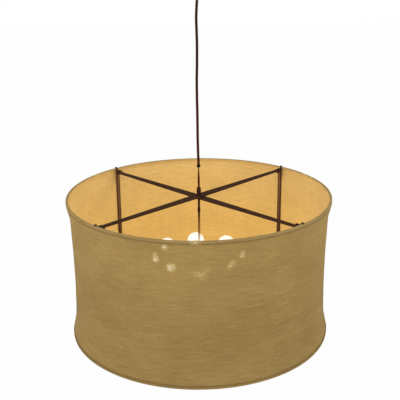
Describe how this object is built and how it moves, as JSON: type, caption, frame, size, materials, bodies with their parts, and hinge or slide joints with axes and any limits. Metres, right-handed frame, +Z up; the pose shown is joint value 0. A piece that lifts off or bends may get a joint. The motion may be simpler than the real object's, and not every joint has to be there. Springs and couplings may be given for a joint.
{
  "type": "drum chandelier",
  "caption": "Wide linen drum shade on a crossed-strap frame with globe lamps inside, hung on a cloth cord from a ceiling canopy.",
  "frame": {"origin": "middle of the ceiling face of the mounting crossbar, on the axis of the light", "axes": "+Z up into the ceiling along the light's axis, +X to the right and +Y away from the viewer in the picture"},
  "size_m": [0.762, 0.762, 1.014],
  "materials": {
    "dark_bronze": "satin bronze paint",
    "rust_bronze": "satin reddish bronze paint",
    "zinc_steel": "zinc plated",
    "ring_steel": "drawn wire",
    "linen": "slubbed plain weave",
    "linen_hem": "folded and stitched",
    "cord_cloth": "braided cloth cover",
    "black_rubber": "matt",
    "holder_plastic": "moulded, matt",
    "opal_glass": "opal white, lit"
  },
  "bodies": {
    "ceiling_fitting": {"mounting_crossbar": "zinc_steel", "canopy": "dark_bronze", "canopy_screw_left": "dark_bronze", "canopy_screw_right": "dark_bronze", "cord_grip": "dark_bronze", "grip_nut": "zinc_steel"},
    "bushing": {"cord_bushing": "black_rubber"},
    "cord": {"pendant_cord": "cord_cloth", "cord_ferrule": "black_rubber", "cord_tail": "cord_cloth"},
    "drum": {"hub_collar": "dark_bronze", "hub_nut": "dark_bronze", "cross_strap_upper": "dark_bronze", "cross_strap_lower": "dark_bronze", "upright_back_right": "rust_bronze", "rim_clip_back_right": "dark_bronze", "corner_screw_back_right": "dark_bronze", "corner_nut_back_right": "dark_bronze", "upright_back_left": "rust_bronze", "rim_clip_back_left": "dark_bronze", "corner_screw_back_left": "dark_bronze", "corner_nut_back_left": "dark_bronze", "upright_front_left": "rust_bronze", "rim_clip_front_left": "dark_bronze", "corner_screw_front_left": "dark_bronze", "corner_nut_front_left": "dark_bronze", "upright_front_right": "rust_bronze", "rim_clip_front_right": "dark_bronze", "corner_screw_front_right": "dark_bronze", "corner_nut_front_right": "dark_bronze", "top_ring": "ring_steel", "bottom_ring": "ring_steel", "shade_fabric": "linen", "top_hem": "linen_hem", "bottom_hem": "linen_hem", "stem_upper": "dark_bronze", "stem_coupling": "dark_bronze", "stem_lower": "dark_bronze", "cluster_cap": "dark_bronze", "cluster_body": "dark_bronze", "finial": "dark_bronze", "socket_1": "holder_plastic", "socket_2": "holder_plastic", "socket_3": "holder_plastic", "socket_4": "holder_plastic", "socket_5": "holder_plastic", "socket_6": "holder_plastic", "socket_7": "holder_plastic", "socket_8": "holder_plastic"},
    "lamp_1": {"bulb_1": "opal_glass"},
    "lamp_2": {"bulb_2": "opal_glass"},
    "lamp_3": {"bulb_3": "opal_glass"},
    "lamp_4": {"bulb_4": "opal_glass"},
    "lamp_5": {"bulb_5": "opal_glass"},
    "lamp_6": {"bulb_6": "opal_glass"},
    "lamp_7": {"bulb_7": "opal_glass"},
    "lamp_8": {"bulb_8": "opal_glass"}
  },
  "joints": [
    {"name": "swing_front", "type": "hinge", "parent": "ceiling_fitting", "child": "bushing", "pos_m": [0, 0, -0.052], "axis": [1, 0, 0], "range_deg": [-20, 20]},
    {"name": "swing_side", "type": "hinge", "parent": "bushing", "child": "cord", "pos_m": [0, 0, -0.052], "axis": [0, 1, 0], "range_deg": [-20, 20]},
    {"name": "turn_on_cord", "type": "hinge", "parent": "cord", "child": "drum", "pos_m": [0, 0, -0.6], "axis": [0, 0, 1], "range_deg": [-180, 180]},
    {"name": "unscrew_1", "type": "hinge", "parent": "drum", "child": "lamp_1", "pos_m": [0.09563, 0.00837, -0.798], "axis": [0.9962, 0.0872, 0], "range_deg": [0, 1440]},
    {"name": "unscrew_2", "type": "hinge", "parent": "drum", "child": "lamp_2", "pos_m": [0.06171, 0.07354, -0.798], "axis": [0.6428, 0.766, 0], "range_deg": [0, 1440]},
    {"name": "unscrew_3", "type": "hinge", "parent": "drum", "child": "lamp_3", "pos_m": [-0.00837, 0.09563, -0.798], "axis": [-0.0872, 0.9962, 0], "range_deg": [0, 1440]},
    {"name": "unscrew_4", "type": "hinge", "parent": "drum", "child": "lamp_4", "pos_m": [-0.07354, 0.06171, -0.798], "axis": [-0.766, 0.6428, 0], "range_deg": [0, 1440]},
    {"name": "unscrew_5", "type": "hinge", "parent": "drum", "child": "lamp_5", "pos_m": [-0.09563, -0.00837, -0.798], "axis": [-0.9962, -0.0872, 0], "range_deg": [0, 1440]},
    {"name": "unscrew_6", "type": "hinge", "parent": "drum", "child": "lamp_6", "pos_m": [-0.06171, -0.07354, -0.798], "axis": [-0.6428, -0.766, 0], "range_deg": [0, 1440]},
    {"name": "unscrew_7", "type": "hinge", "parent": "drum", "child": "lamp_7", "pos_m": [0.00837, -0.09563, -0.798], "axis": [0.0872, -0.9962, 0], "range_deg": [0, 1440]},
    {"name": "unscrew_8", "type": "hinge", "parent": "drum", "child": "lamp_8", "pos_m": [0.07354, -0.06171, -0.798], "axis": [0.766, -0.6428, 0], "range_deg": [0, 1440]}
  ]
}
